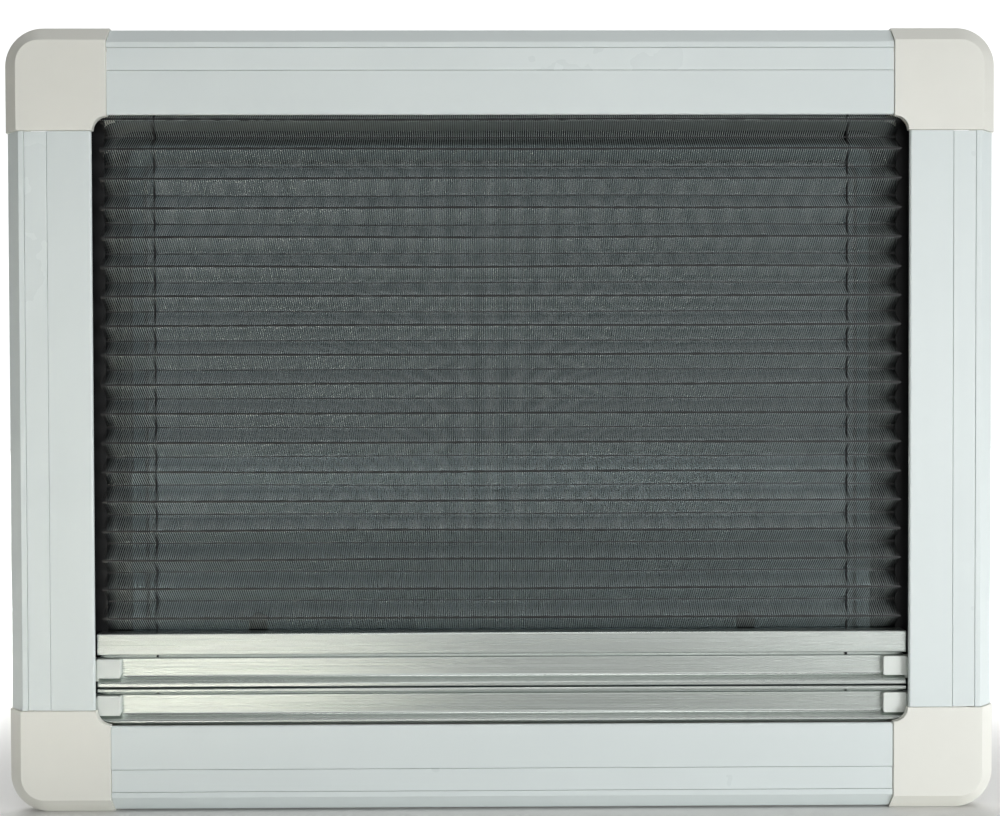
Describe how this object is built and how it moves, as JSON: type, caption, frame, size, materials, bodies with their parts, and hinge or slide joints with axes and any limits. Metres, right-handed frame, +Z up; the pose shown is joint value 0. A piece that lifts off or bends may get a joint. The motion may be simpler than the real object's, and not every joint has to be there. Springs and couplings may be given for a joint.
{
  "type": "caravan window",
  "caption": "Caravan window with a white inner frame, a pleated fly screen and a blackout blind on sliding pull bars, and a dark double acrylic pane in an outer frame.",
  "frame": {"origin": "middle of the bottom rail's foot, on the inner skin of the wall", "axes": "+X right as seen from the room, +Y towards the outside, +Z up"},
  "size_m": [0.7236, 0.0675, 0.5737],
  "materials": {
    "white_rail": "white powder-coated aluminium extrusion",
    "cover_strip": "white extruded plastic",
    "corner_plastic": "off-white moulded ABS",
    "black_plastic": "black moulded plastic",
    "cord": "braided black polyester",
    "fly_mesh": "pleated black fly mesh",
    "blackout_cloth": "pleated coated blackout cloth",
    "bar_aluminium": "satin anodised aluminium",
    "cap_plastic": "light grey moulded plastic",
    "outer_frame": "black powder-coated aluminium",
    "rubber": "black seal rubber",
    "acrylic": "dark tinted acrylic",
    "hinge_aluminium": "black anodised aluminium",
    "stay_metal": "zinc-plated steel"
  },
  "bodies": {
    "frame": {"top_rail": "white_rail", "bottom_rail": "white_rail", "left_stile": "white_rail", "right_stile": "white_rail", "top_cover_strip": "cover_strip", "bottom_cover_strip": "cover_strip", "left_cover_strip": "cover_strip", "right_cover_strip": "cover_strip", "corner_top_left": "corner_plastic", "corner_top_right": "corner_plastic", "corner_bottom_left": "corner_plastic", "corner_bottom_right": "corner_plastic", "guide_channel_left": "black_plastic", "guide_channel_right": "black_plastic", "catch_base_left": "black_plastic", "catch_base_right": "black_plastic", "catch_lever_left": "black_plastic", "catch_lever_right": "black_plastic", "catch_keeper_left": "black_plastic", "catch_keeper_right": "black_plastic", "draw_cord_left": "cord", "draw_cord_right": "cord", "flyscreen": "fly_mesh", "blackout_blind": "blackout_cloth", "outer_frame": "outer_frame", "pane_seal": "rubber", "outer_pane": "acrylic", "inner_pane": "acrylic", "hinge_rail": "hinge_aluminium", "hinge_strip": "hinge_aluminium", "stay_tube_left": "stay_metal", "stay_tube_right": "stay_metal", "stay_rod_left": "stay_metal", "stay_rod_right": "stay_metal"},
    "screen_bar": {"screen_pull_bar": "bar_aluminium", "screen_bar_cap_left": "cap_plastic", "screen_bar_cap_right": "cap_plastic"},
    "blind_bar": {"blind_pull_bar": "bar_aluminium", "blind_bar_cap_left": "cap_plastic", "blind_bar_cap_right": "cap_plastic"}
  },
  "joints": [
    {"name": "screen_slide", "type": "slide", "parent": "frame", "child": "screen_bar", "axis": [0, 0, 1], "range_m": [0, 0.376], "deforming": ["flyscreen"]},
    {"name": "blind_slide", "type": "slide", "parent": "frame", "child": "blind_bar", "axis": [0, 0, 1], "range_m": [0, 0.376], "deforming": ["blackout_blind"]}
  ],
  "couplings": [
    {"joint": "blind_slide", "follows": "screen_slide", "ratio": 1}
  ]
}
